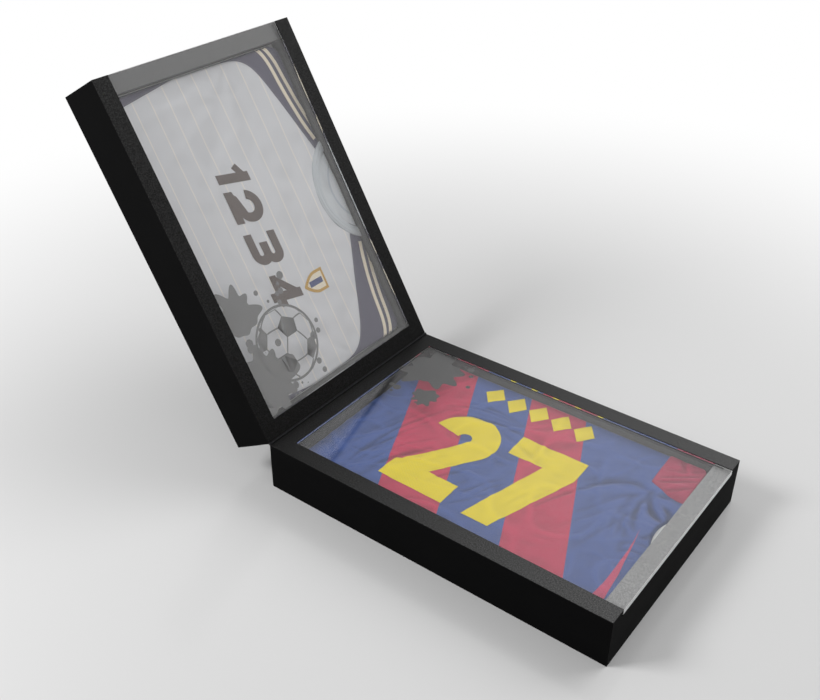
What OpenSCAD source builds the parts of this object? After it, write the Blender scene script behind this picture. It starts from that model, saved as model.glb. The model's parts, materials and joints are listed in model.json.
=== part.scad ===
// Folding display case for two shirts: two framed halves hinged like a book, the base lying flat and
// the lid standing open. Each half holds a shirt on a mount board behind a thick clear panel that
// slides out over the low end rail.
// Millimetres. The origin is the middle of the base's underside: X runs from the hinge to the free
// end, Y from the near side to the far side and Z up.

/* [Case] */
// Length of one half, from the hinge end to the free end
case_l = 720; // [600:1:860]
// Width of the case, along the hinge
case_w = 494; // [420:1:600]
// Depth of one half, from its front face to its back
case_h = 100; // [90:1:130]
// Width of the rails' front faces
rail_w = 35; // [30:1:42]
// Chamfer on the outer edges of the case
edge_ease = 0.6; // [0.3:0.1:1.2]
// Opening of the lid as drawn, 0 shut and 180 flat
lid_angle = 120; // [0:1:180]

/* [Clear panel] */
// Thickness of the clear panel
panel_t = 10; // [8:0.5:12]
// Depth of the panel's face below the rails' front faces
panel_recess = 1.5; // [1:0.1:3]
// Running clearance around the panel
panel_gap = 0.4; // [0.3:0.05:0.6]
// Thickness of the tongue along the panel's lower edges
tongue_t = 4; // [3:0.5:5]
// Reach of the tongue into the rails
tongue_reach = 6; // [4:0.5:8]
// Plain length of the panel's edges at the free end, with no tongue
tongue_stop = 15; // [10:1:30]

/* [Back and mount] */
// Thickness of the back board
back_t = 5; // [4:0.5:8]
// Width of the rabbet that the back board lies in
rabbet_w = 14; // [12:1:18]
// Clearance around the back board and the mount board
board_gap = 0.5; // [0.3:0.1:1]
// Thickness of the mount board under the shirt
mount_t = 5; // [3:0.5:8]
// Depth of the mount board's face below the rails' front faces
mount_depth = 43; // [38:1:50]
// Width of the cleats that carry the mount board
cleat_w = 15; // [10:1:20]
// Height of the cleats
cleat_h = 20; // [15:1:28]

/* [Shirts] */
// Clearance between a shirt and the case's inner walls
shirt_gap = 3; // [2:1:15]
// Thickness of a folded shirt at its rim
shirt_rim = 3; // [2:0.5:4]
// Rise of a folded shirt above its rim
shirt_rise = 5; // [3:0.5:7]
// Further rise of a folded shirt towards its shoulders
shoulder_rise = 8; // [0:0.5:9]
// Width of the slope at a shirt's rim
shirt_slope = 12; // [8:1:40]
// Radius of a shirt's corners
shirt_corner = 30; // [15:1:50]

/* [Hinge] */
// Distance from the hinge's ends to the case's sides
hinge_margin = 1; // [0.5:0.5:6]
// Number of knuckles on both leaves together, an odd number
knuckles = 19; // [9:2:25]
// Diameter of the hinge pin
pin_d = 3; // [2.5:0.1:4]
// Thickness of the leaves and of the barrel's wall
leaf_t = 1.5; // [1.2:0.1:2]
// Width of one leaf
leaf_w = 28; // [24:1:32]
// Distance of the hinge axis from the front face and from the hinge end of each half
hinge_stand = 0.5; // [0.4:0.05:1]
// Running gap between knuckles, and between the barrel and the rails
knuckle_gap = 0.4; // [0.3:0.05:0.6]
// Radial clearance of the pin in the base leaf
pin_fit = 0.02; // [0.01:0.01:0.04]
// Radial clearance of the pin in the lid leaf
pin_run = 0.05; // [0.04:0.01:0.1]

/* [Fastenings] */
// Diameter of the corner dowels
dowel_d = 10; // [8:1:12]
// Length of the corner dowels
dowel_l = 50; // [40:1:56]
// Height of the lower dowel's axis above the back
dowel_rise = 26; // [22:1:32]
// Distance between the two dowels of a corner
dowel_pitch = 40; // [30:1:44]
// Diameter of the hinge screws
leaf_screw_d = 3; // [2.5:0.1:3.5]
// Length of the hinge screws
leaf_screw_l = 20; // [14:1:25]
// Number of screws in each hinge leaf
leaf_screws = 8; // [4:1:12]
// Distance of the hinge screws from the front face
leaf_screw_drop = 17; // [14:1:19]
// Diameter of the back screws
back_screw_d = 3.5; // [3:0.1:4]
// Length of the back screws
back_screw_l = 18; // [14:1:20]
// Depth of the back screws' heads below the back
back_screw_sink = 0.4; // [0.2:0.1:1]
// Distance of the outer back screws from the case's inner corners
back_screw_inset = 30; // [20:1:50]
// Number of back screws along each side rail
side_screws = 4; // [3:1:6]
// Number of back screws along each end rail
end_screws = 3; // [2:1:5]
// Clearance of dowels and screws in their holes
hole_fit = 0.05; // [0.02:0.01:0.1]

/* [Hidden] */
$fn = 48;
cut = 1;

// Openings inside the rails, and the heights of what lies between them
inner_l = case_l - 2 * rail_w;
inner_w = case_w - 2 * rail_w;
panel_z = case_h - panel_recess - panel_t;
seat_z = panel_z - panel_gap;
mount_z = case_h - mount_depth;
cleat_z = mount_z - mount_t - cleat_h;

// Hinge axis, barrel and knuckles
axis_x = -case_l / 2 - hinge_stand;
axis_z = case_h + hinge_stand;
barrel_r = pin_d / 2 + leaf_t;
hinge_l = case_w - 2 * hinge_margin;
knuckle_pitch = hinge_l / knuckles;

// Half extents of a shirt, and the grid of points over it
shirt_a = inner_l / 2 - shirt_gap;
shirt_b = inner_w / 2 - shirt_gap;
shirt_cols = 36;
shirt_rows = 28;

// Turns what is drawn for the base into the lid's, at the opening angle
module on_lid()
    translate([axis_x, 0, axis_z])
        rotate([0, -lid_angle, 0])
            mirror([0, 0, 1])
                translate([-axis_x, 0, -axis_z])
                    children();

// Box given by its lowest and highest corners
module span_box(low, high)
    translate(low)
        cube(high - low);

// Rectangle with chamfered corners, from its low corner to its high one
module eased_rectangle(low, high)
    polygon([
        [low[0] + edge_ease, low[1]], [high[0] - edge_ease, low[1]],
        [high[0], low[1] + edge_ease], [high[0], high[1] - edge_ease],
        [high[0] - edge_ease, high[1]], [low[0] + edge_ease, high[1]],
        [low[0], high[1] - edge_ease], [low[0], low[1] + edge_ease]
    ]);

// Outer block of one half, with all its edges chamfered
module eased_block()
    intersection() {
        linear_extrude(case_h)
            eased_rectangle([-case_l / 2, -case_w / 2], [case_l / 2, case_w / 2]);
        translate([0, case_w / 2, 0])
            rotate([90, 0, 0])
                linear_extrude(case_w)
                    eased_rectangle([-case_l / 2, 0], [case_l / 2, case_h]);
        translate([-case_l / 2, 0, 0])
            rotate([90, 0, 90])
                linear_extrude(case_l)
                    eased_rectangle([-case_w / 2, 0], [case_w / 2, case_h]);
    }

// Groove for the panel's tongue on three sides, open at the free end
module tongue_groove()
    span_box(
        [-inner_l / 2 - tongue_reach - panel_gap, -inner_w / 2 - tongue_reach - panel_gap, seat_z],
        [case_l / 2 + cut, inner_w / 2 + tongue_reach + panel_gap, panel_z + tongue_t + panel_gap]
    );

// Space of the back board, open at the back
module back_rabbet()
    span_box(
        [-inner_l / 2 - rabbet_w, -inner_w / 2 - rabbet_w, -cut],
        [inner_l / 2 + rabbet_w, inner_w / 2 + rabbet_w, back_t]
    );

// Places of the corner dowels, two in each corner, along Y
module at_dowels()
    for (x = [-1, 1], y = [-1, 1], z = [dowel_rise, dowel_rise + dowel_pitch])
        translate([x * (case_l - rail_w) / 2, y * inner_w / 2, z])
            rotate([90, 0, 0])
                children();

// Places of the back screws around the rabbet, pointing up from the back
module at_back_screws() {
    along = inner_l / 2 - back_screw_inset;
    across = inner_w / 2 - back_screw_inset;
    for (side = [-1, 1], i = [0 : side_screws - 1])
        translate([along * (2 * i / (side_screws - 1) - 1), side * (inner_w + rabbet_w) / 2, 0])
            children();
    for (end = [-1, 1], i = [0 : end_screws - 1])
        translate([end * (inner_l + rabbet_w) / 2, across * (2 * i / (end_screws - 1) - 1), 0])
            children();
}

// Places of the hinge screws on the hinge rail, pointing along X
module at_leaf_screws()
    for (i = [0 : leaf_screws - 1])
        translate([-case_l / 2, inner_w * ((i + 0.5) / leaf_screws - 0.5), case_h - leaf_screw_drop])
            rotate([0, 90, 0])
                children();

// Countersunk screw along Z, its head twice its shank's diameter with its face at the origin, grown by grow
module screw_body(d, l, grow) {
    translate([0, 0, -grow])
        cylinder(h = d / 2 + grow, r1 = d + 2 * grow, r2 = d / 2 + grow);
    cylinder(h = l + grow, r = d / 2 + grow);
}

// Cross recess in a screw's head, in shares of the shank's diameter
module cross_recess(d)
    for (turn = [0, 90])
        rotate([0, 0, turn])
            cube([d * 1.1, d * 0.22, d * 0.7], center = true);

// Dowel along Z about its middle, grown by grow
module dowel_body(grow)
    cylinder(h = dowel_l + 2 * grow, r = dowel_d / 2 + grow, center = true);

// Everything that is cut from the rails besides the tongue groove
module rail_cuts() {
    back_rabbet();
    at_dowels()
        dowel_body(hole_fit);
    at_back_screws()
        screw_body(back_screw_d, back_screw_l + back_screw_sink, hole_fit);
}

// Mortise for the hinge leaf and relief for its barrel, right across the hinge end
module hinge_mortise() {
    span_box(
        [-case_l / 2 - cut, -case_w / 2 - cut, case_h - leaf_w - hole_fit],
        [-case_l / 2 + leaf_t, case_w / 2 + cut, case_h + cut]
    );
    along_hinge(case_w + 2 * cut, barrel_r + knuckle_gap);
}

// Rail along one long side of a half, on the near side for -1 and the far side for 1
module side_rail(side)
    color("#1b1b1c")
        difference() {
            intersection() {
                eased_block();
                translate([0, side * (case_w - rail_w) / 2, case_h / 2])
                    cube([case_l + cut, rail_w, case_h + cut], center = true);
            }
            tongue_groove();
            rail_cuts();
            hinge_mortise();
        }

// Rail at the hinge end, between the side rails
module hinge_rail()
    color("#1b1b1c")
        difference() {
            intersection() {
                eased_block();
                span_box([-case_l / 2 - cut, -inner_w / 2, -cut], [-inner_l / 2, inner_w / 2, case_h + cut]);
            }
            tongue_groove();
            rail_cuts();
            hinge_mortise();
            at_leaf_screws()
                screw_body(leaf_screw_d, leaf_screw_l, hole_fit);
        }

// Low rail at the free end, which the panel lies on and slides over
module end_rail()
    color("#1b1b1c")
        difference() {
            intersection() {
                eased_block();
                span_box([inner_l / 2, -inner_w / 2, -cut], [case_l / 2 + cut, inner_w / 2, seat_z]);
            }
            rail_cuts();
        }

// Dowels in the corners of a half
module corner_dowels()
    color("#c9a877")
        at_dowels()
            dowel_body(0);

// Board closing the back, flush with the rails
module back_board()
    color("#2a2a2b")
        difference() {
            span_box(
                [-inner_l / 2 - rabbet_w + board_gap, -inner_w / 2 - rabbet_w + board_gap, 0],
                [inner_l / 2 + rabbet_w - board_gap, inner_w / 2 + rabbet_w - board_gap, back_t]
            );
            at_back_screws()
                translate([0, 0, back_screw_sink])
                    screw_body(back_screw_d, back_screw_l, hole_fit);
            at_back_screws()
                translate([0, 0, -cut])
                    cylinder(h = cut + back_screw_sink, r = back_screw_d + 2 * hole_fit);
        }

// Screws that hold the back board
module back_screws()
    color("#3a3a3c")
        at_back_screws()
            translate([0, 0, back_screw_sink])
                difference() {
                    screw_body(back_screw_d, back_screw_l, 0);
                    cross_recess(back_screw_d);
                }

// Cleat under a long edge of the mount board
module side_cleat(side)
    color("#b99668")
        translate([0, side * (inner_w - cleat_w) / 2, cleat_z + cleat_h / 2])
            cube([inner_l, cleat_w, cleat_h], center = true);

// Cleat under a short edge of the mount board, at the hinge end for -1 and the free end for 1
module end_cleat(end)
    color("#b99668")
        translate([end * (inner_l - cleat_w) / 2, 0, cleat_z + cleat_h / 2])
            cube([cleat_w, inner_w - 2 * cleat_w, cleat_h], center = true);

// Board that the shirt is folded on, lying on the cleats
module mount_board()
    color("#e8e6df")
        span_box(
            [-inner_l / 2 + board_gap, -inner_w / 2 + board_gap, mount_z - mount_t],
            [inner_l / 2 - board_gap, inner_w / 2 - board_gap, mount_z]
        );

// Clear panel with a tongue along its near, far and hinge edges
module clear_panel()
    color("#dfe6e6", 0.35) {
        span_box(
            [-inner_l / 2 + panel_gap, -inner_w / 2 + panel_gap, panel_z],
            [case_l / 2, inner_w / 2 - panel_gap, panel_z + panel_t]
        );
        span_box(
            [-inner_l / 2 - tongue_reach, -inner_w / 2 - tongue_reach, panel_z],
            [case_l / 2 - tongue_stop, inner_w / 2 + tongue_reach, panel_z + tongue_t]
        );
    }

// Cylinder along the hinge axis, l long and centred at y
module along_hinge(l, r, y = 0)
    translate([axis_x, y, axis_z])
        rotate([90, 0, 0])
            cylinder(h = l, r = r, center = true);

// Middle of a knuckle along the hinge
function knuckle_y(i) = (i + 0.5) * knuckle_pitch - hinge_l / 2;

// Leaf let into the hinge end, with every second knuckle from the one numbered first
module hinge_leaf(first, fit)
    color("#161617")
        difference() {
            union() {
                span_box(
                    [-case_l / 2, -hinge_l / 2, case_h - leaf_w],
                    [-case_l / 2 + leaf_t, hinge_l / 2, case_h]
                );
                for (i = [first : 2 : knuckles - 1])
                    along_hinge(knuckle_pitch - knuckle_gap, barrel_r, knuckle_y(i));
            }
            for (i = [1 - first : 2 : knuckles - 1])
                along_hinge(knuckle_pitch + knuckle_gap, barrel_r + knuckle_gap, knuckle_y(i));
            along_hinge(hinge_l + cut, pin_d / 2 + fit);
            at_leaf_screws()
                screw_body(leaf_screw_d, leaf_screw_l, hole_fit);
        }

// Screws that hold a hinge leaf
module leaf_screw_row()
    color("#2c2c2e")
        at_leaf_screws()
            difference() {
                screw_body(leaf_screw_d, leaf_screw_l, 0);
                cross_recess(leaf_screw_d);
            }

// Pin through all the knuckles
module hinge_pin()
    color("#3a3a3c")
        along_hinge(hinge_l, pin_d / 2);

// How far a shirt's side edge draws in at y for its round corners
function corner_in(y) =
    let (past = max(0, abs(y) - shirt_b + shirt_corner))
    shirt_corner - sqrt(max(0, shirt_corner * shirt_corner - past * past));

// Height of a fold [x, y, direction, length, width, height] at a point: a ridge that dies at both ends
function fold(x, y, f) =
    let (along = (x - f[0]) * cos(f[2]) + (y - f[1]) * sin(f[2]))
    let (off = (y - f[1]) * cos(f[2]) - (x - f[0]) * sin(f[2]))
    along < 0 || along > f[3] ? 0 : f[5] * sin(180 * along / f[3]) * exp(-pow(off / f[4], 2));

// Height of all the folds of a list at a point
function folds_at(x, y, folds, i = 0) =
    i == len(folds) ? 0 : fold(x, y, folds[i]) + folds_at(x, y, folds, i + 1);

// Smooth step from 0 at 0 to 1 at 1
function ease_in(t) =
    let (k = min(1, max(0, t)))
    k * k * (3 - 2 * k);

// Rise of a shirt's folded shoulders, which lie at the far side
shoulder_start = 40;
shoulder_run = 160;
function shoulder_at(y) = shoulder_rise * ease_in((y - shoulder_start) / shoulder_run);

// Ridge of a round collar of radius r centred at [x, y], rising by h over the width w
function collar_at(x, y, c, r, w, h) =
    h * exp(-pow((norm([x - c[0], y - c[1]]) - r) / w, 2));

// Closed solid of a shirt from rows of front points, on the mount board's face
module shirt_solid(rows) {
    n = shirt_cols + 1;
    last = shirt_rows * n;
    floor_left = (shirt_rows + 1) * n;
    floor_right = floor_left + shirt_rows + 1;
    front = [for (row = rows, p = row) p];
    floor_points = concat(
        [for (row = rows) [row[0][0], row[0][1], mount_z]],
        [for (row = rows) [row[shirt_cols][0], row[shirt_cols][1], mount_z]]
    );
    front_faces = [
        for (j = [0 : shirt_rows - 1], i = [0 : shirt_cols - 1], k = [0, 1])
            let (a = j * n + i)
            k == 0 ? [a, a + n, a + 1] : [a + 1, a + n, a + n + 1]
    ];
    left_faces = [
        for (j = [0 : shirt_rows - 1], k = [0, 1])
            k == 0
                ? [floor_left + j, floor_left + j + 1, j * n]
                : [j * n, floor_left + j + 1, (j + 1) * n]
    ];
    right_faces = [
        for (j = [0 : shirt_rows - 1], k = [0, 1])
            let (a = j * n + shirt_cols)
            k == 0
                ? [floor_right + j, a, floor_right + j + 1]
                : [a, a + n, floor_right + j + 1]
    ];
    floor_faces = [
        for (j = [0 : shirt_rows - 1], k = [0, 1])
            k == 0
                ? [floor_left + j, floor_right + j, floor_left + j + 1]
                : [floor_right + j, floor_right + j + 1, floor_left + j + 1]
    ];
    near_faces = concat(
        [for (i = [0 : shirt_cols - 1]) [floor_left, i, i + 1]],
        [[floor_left, shirt_cols, floor_right]]
    );
    far_faces = concat(
        [for (i = [0 : shirt_cols - 1]) [floor_left + shirt_rows, last + i + 1, last + i]],
        [[floor_left + shirt_rows, floor_right + shirt_rows, last + shirt_cols]]
    );
    polyhedron(
        concat(front, floor_points),
        concat(front_faces, left_faces, right_faces, floor_faces, near_faces, far_faces),
        convexity = 6
    );
}

// Height of a shirt's plain face above the mount board, sloping down to the rim
function shirt_face(x, y, left, right) =
    let (in_x = min(x - left, right - x), in_y = shirt_b - abs(y))
    shirt_rim + shirt_rise * ease_in(in_x / shirt_slope) * ease_in(in_y / shirt_slope);

// How much of a fold's height stays near the rim
function shirt_keep(x, y, left, right) =
    let (in_x = min(x - left, right - x), in_y = shirt_b - abs(y))
    ease_in(in_x / shirt_slope) * ease_in(in_y / shirt_slope);

// Rows of a shirt's front points between left and right edges, with relief h above its plain face
function shirt_point(x, y, left, right, h) =
    [x, y, mount_z + shirt_face(x, y, left, right) + h * shirt_keep(x, y, left, right)];

// Base shirt, its back shown: a folded sleeve in the far corner of the free end, with a gap below it
armhole = [shirt_a - 14, 30];
armhole_d = 24;
armhole_w = 20;
sleeve_seam = shirt_a - 84;
sleeve_low = armhole[1] + 75;
sleeve_rise = 2;
seam_soft = 14;
base_folds = [
    [armhole[0] - 30, armhole[1] + 60, 200, 190, 9, 2.2],
    [armhole[0] - 34, armhole[1] + 46, 222, 210, 9, 2.6],
    [armhole[0] - 30, armhole[1] + 30, 244, 180, 8, 2.2],
    [armhole[0] - 24, armhole[1] + 16, 262, 150, 8, 1.8],
    [14 - shirt_a, 44, 284, 200, 10, 2.4],
    [44 - shirt_a, 70, 300, 220, 11, 2],
    [66 - shirt_a, 110, 322, 200, 11, 1.6]
];
function base_right(y) = shirt_a - corner_in(y) - armhole_d * exp(-pow((y - armhole[1]) / armhole_w, 2));
function base_left(y) = corner_in(y) - shirt_a;
function base_relief(x, y) =
    folds_at(x, y, base_folds)
    + shoulder_at(y)
    + sleeve_rise * ease_in((x - sleeve_seam) / seam_soft) * ease_in((y - sleeve_low) / seam_soft);
module back_shirt()
    color("#5d4560")
        shirt_solid([
            for (j = [0 : shirt_rows])
                let (y = shirt_b * (2 * j / shirt_rows - 1), left = base_left(y), right = base_right(y))
                [
                    for (i = [0 : shirt_cols])
                        let (x = left + (right - left) * i / shirt_cols)
                        shirt_point(x, y, left, right, base_relief(x, y))
                ]
        ]);

// Lid shirt, its front shown: a round collar at the far side and sleeves folded behind both corners
collar_mid = [0, shirt_b + 56];
collar_r = 112;
collar_w = 10;
collar_rise = 3;
lid_folds = [
    [shirt_a - 60, 60, 250, 200, 10, 2.2],
    [shirt_a - 90, 80, 232, 240, 11, 1.8],
    [60 - shirt_a, 60, 290, 200, 10, 2.2],
    [90 - shirt_a, 80, 308, 240, 11, 1.8],
    [-90, 20, 340, 190, 12, 1.6],
    [-40, -40, 12, 180, 12, 1.4]
];
function lid_side(y) = shirt_a - corner_in(y);
function lid_relief(x, y) =
    folds_at(x, y, lid_folds) + shoulder_at(y) + collar_at(x, y, collar_mid, collar_r, collar_w, collar_rise);
module front_shirt()
    color("#c9ccd0")
        shirt_solid([
            for (j = [0 : shirt_rows])
                let (y = shirt_b * (2 * j / shirt_rows - 1), right = lid_side(y), left = -lid_side(y))
                [
                    for (i = [0 : shirt_cols])
                        let (x = left + (right - left) * i / shirt_cols)
                        shirt_point(x, y, left, right, lid_relief(x, y))
                ]
        ]);

side_rail(-1);  // base_near_rail
side_rail(1);  // base_far_rail
hinge_rail();  // base_hinge_rail
end_rail();  // base_end_rail
corner_dowels();  // base_corner_dowels
back_board();  // base_back_board
back_screws();  // base_back_screws
side_cleat(-1);  // base_near_cleat
side_cleat(1);  // base_far_cleat
end_cleat(-1);  // base_hinge_cleat
end_cleat(1);  // base_end_cleat
mount_board();  // base_mount_board
back_shirt();  // base_shirt
clear_panel();  // base_panel
on_lid() side_rail(-1);  // lid_near_rail
on_lid() side_rail(1);  // lid_far_rail
on_lid() hinge_rail();  // lid_hinge_rail
on_lid() end_rail();  // lid_end_rail
on_lid() corner_dowels();  // lid_corner_dowels
on_lid() back_board();  // lid_back_board
on_lid() back_screws();  // lid_back_screws
on_lid() side_cleat(-1);  // lid_near_cleat
on_lid() side_cleat(1);  // lid_far_cleat
on_lid() end_cleat(-1);  // lid_hinge_cleat
on_lid() end_cleat(1);  // lid_end_cleat
on_lid() mount_board();  // lid_mount_board
on_lid() front_shirt();  // lid_shirt
on_lid() clear_panel();  // lid_panel
hinge_leaf(0, pin_fit);  // hinge_leaf_base
on_lid() hinge_leaf(1, pin_run);  // hinge_leaf_lid
hinge_pin();
leaf_screw_row();  // hinge_screws_base
on_lid() leaf_screw_row();  // hinge_screws_lid
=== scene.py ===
import json
import math

import bpy
import numpy as np
from mathutils import Matrix, Vector
from mathutils.geometry import delaunay_2d_cdt


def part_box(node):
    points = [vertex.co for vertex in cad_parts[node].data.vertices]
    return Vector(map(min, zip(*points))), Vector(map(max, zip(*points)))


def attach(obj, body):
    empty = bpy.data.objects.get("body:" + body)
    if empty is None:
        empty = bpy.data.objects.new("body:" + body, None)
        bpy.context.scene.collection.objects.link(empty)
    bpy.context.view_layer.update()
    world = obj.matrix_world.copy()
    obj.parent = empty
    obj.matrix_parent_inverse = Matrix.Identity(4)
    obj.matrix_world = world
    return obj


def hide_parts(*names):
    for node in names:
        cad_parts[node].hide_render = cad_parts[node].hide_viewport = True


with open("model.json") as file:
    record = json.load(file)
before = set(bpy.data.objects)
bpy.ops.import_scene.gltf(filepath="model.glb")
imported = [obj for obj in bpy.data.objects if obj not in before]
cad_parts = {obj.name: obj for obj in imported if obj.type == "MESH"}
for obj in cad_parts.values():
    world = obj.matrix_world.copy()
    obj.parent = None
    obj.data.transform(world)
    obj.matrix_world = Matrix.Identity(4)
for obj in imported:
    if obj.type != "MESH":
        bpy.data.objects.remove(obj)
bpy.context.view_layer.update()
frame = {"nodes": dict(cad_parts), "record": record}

MM = 0.001

# Places taken from the frame: the hinge, the lid's directions, the rails, the mount board and the panel
joints = {joint["name"]: joint for joint in frame["record"]["behaviour"]["joints"]}
hinge_x, _, hinge_z = joints["lid_hinge"]["pos_m"]
lid_along = np.array(joints["lid_panel_slide"]["axis"])
lid_out = np.array([lid_along[2], 0.0, -lid_along[0]])
front_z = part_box("base_near_rail")[1].z
board_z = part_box("base_mount_board")[1].z
board_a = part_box("base_mount_board")[1].x
board_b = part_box("base_mount_board")[1].y
panel_low, panel_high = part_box("base_panel")
inside_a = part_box("base_end_rail")[0].x
inside_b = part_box("base_far_rail")[0].y
seat_drop = front_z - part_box("base_end_rail")[1].z
case_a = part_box("base_near_rail")[1].x

# The shirts reach to this far from the edges of the mount board
cloth_gap = 1 * MM
cloth_a = board_a - cloth_gap
cloth_b = board_b - cloth_gap


def on_lid(points):
    """Points of the base half carried to the lid: mirrored in the hinge's level, then turned about the hinge
    by the lid's opening."""
    along = points[:, 0] - hinge_x
    up = hinge_z - points[:, 2]
    cosine, sine = lid_along[0], lid_along[2]
    return np.stack(
        [hinge_x + along * cosine - up * sine, points[:, 1], hinge_z + along * sine + up * cosine], axis=1
    )


# Shader expressions


class Value:
    """A socket of a node tree. Arithmetic between values, or with numbers, adds Math nodes."""

    def __init__(self, paint, socket):
        self.paint = paint
        self.socket = socket

    def math(self, operation, *others):
        return self.paint.node("ShaderNodeMath", {"operation": operation}, self, *others)

    def __add__(self, other):
        return self.math("ADD", other)

    def __sub__(self, other):
        return self.math("SUBTRACT", other)

    def __mul__(self, other):
        return self.math("MULTIPLY", other)

    def __truediv__(self, other):
        return self.math("DIVIDE", other)

    __radd__ = __add__
    __rmul__ = __mul__

    def __rsub__(self, other):
        return self.paint.node("ShaderNodeMath", {"operation": "SUBTRACT"}, other, self)

    def __abs__(self):
        return self.math("ABSOLUTE")

    def sin(self):
        return self.math("SINE")

    def fract(self):
        return self.math("FRACT")

    def over(self, edge):
        return self.math("GREATER_THAN", edge)

    def most(self, other):
        return self.math("MAXIMUM", other)

    def within(self, middle, half):
        """1 where the value lies within half of a middle, and 0 elsewhere."""
        return 1.0 - abs(self - middle).over(half)

    def smooth(self, low, high):
        """Smooth step from 0 at low to 1 at high."""
        settings = {"interpolation_type": "SMOOTHSTEP"}
        return self.paint.node("ShaderNodeMapRange", settings, self, low, high, 0.0, 1.0)

    def parts(self):
        """The three parts of a vector."""
        split = self.paint.node("ShaderNodeSeparateXYZ", {}, self)
        return [Value(self.paint, split.socket.node.outputs[i]) for i in range(3)]


class Nodes:
    """A node tree that is built from expressions."""

    def __init__(self, tree):
        self.tree = tree

    def feed(self, socket, value):
        """Sets or links a socket. A colour has three parts."""
        if isinstance(value, Value):
            self.tree.links.new(value.socket, socket)
        elif isinstance(value, tuple) and socket.type == "RGBA":
            socket.default_value = (*value, 1.0)
        else:
            socket.default_value = value

    def node(self, kind, settings, *inputs, out=0, **named):
        """Adds a node, sets its settings and then its sockets, by order or by name, and returns an output."""
        node = self.tree.nodes.new(kind)
        for name, value in settings.items():
            setattr(node, name, value)
        for socket, value in zip(node.inputs, inputs):
            self.feed(socket, value)
        for name, value in named.items():
            self.feed(node.inputs[name.replace("_", " ")], value)
        return Value(self, node.outputs[out])

    def rays(self, *kinds):
        """For each kind of ray, 1 where a ray is of that kind and 0 elsewhere."""
        path = self.tree.nodes.new("ShaderNodeLightPath")
        return [Value(self, path.outputs[f"Is {kind} Ray"]) for kind in kinds]


class Paint(Nodes):
    """A material on one Principled shader."""

    def __init__(self, name, colour, roughness, **constants):
        self.material = bpy.data.materials.new(name)
        self.material.use_nodes = True
        super().__init__(self.material.node_tree)
        self.shader = self.tree.nodes["Principled BSDF"]
        self.set("Base Color", colour)
        self.set("Roughness", roughness)
        for socket, value in constants.items():
            self.set(socket.replace("_", " "), value)

    def set(self, socket, value):
        """Sets or links one of the shader's sockets."""
        self.feed(self.shader.inputs[socket], value)

    def mix_shader(self, factor, kind, **named):
        """Mixes a second shader into the surface, by a factor."""
        second = self.node(kind, {}, **named)
        surface = self.node("ShaderNodeMixShader", {}, factor, Value(self, self.shader.outputs[0]), second)
        self.feed(self.tree.nodes["Material Output"].inputs["Surface"], surface)

    def mix(self, factor, a, b):
        """Colour a where factor is 0 and b where it is 1."""
        node = self.node("ShaderNodeMix", {"data_type": "RGBA"}, out=2).socket.node
        for socket, value in zip((node.inputs[0], node.inputs[6], node.inputs[7]), (factor, a, b)):
            self.feed(socket, value)
        return Value(self, node.outputs[2])

    def place(self):
        """Object coordinates, which are the part's own, in metres."""
        return self.node("ShaderNodeTexCoord", {}, out=3)

    def carried(self, name):
        """A vector that the piece carries on its points."""
        return self.node("ShaderNodeAttribute", {"attribute_name": name}, out=1)

    def noise(self, at, scale, detail, roughness):
        """Cloudy noise from 0 to 1, of a scale in cells for each metre."""
        return self.node("ShaderNodeTexNoise", {}, Vector=at, Scale=scale, Detail=detail, Roughness=roughness)

    def stretch(self, at, scale):
        """A vector scaled by three factors."""
        return self.node("ShaderNodeMapping", {"vector_type": "POINT"}, Vector=at, Scale=scale)

    def along(self, at, direction):
        """How far a vector reaches along a direction."""
        return self.node("ShaderNodeVectorMath", {"operation": "DOT_PRODUCT"}, at, direction, out=1)

    def finish(self, colour, roughness, height, depth, strength):
        """Feeds a colour, a roughness and the relief of a height from 0 to 1 over a depth, and returns the
        material."""
        self.set("Base Color", colour)
        self.set("Roughness", roughness)
        self.set("Normal", self.node("ShaderNodeBump", {}, Strength=strength, Distance=depth, Height=height))
        return self.material


# Finishes

BLACK = (0.0, 0.0, 0.0)

# How far from a face's own level a point still counts as lying on it, and where a front face's coat begins
face_play = 0.3 * MM
front_edge = (-0.9 * MM, -0.4 * MM)


def grey(level):
    """A grey of one level."""
    return (level, level, level)


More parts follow.
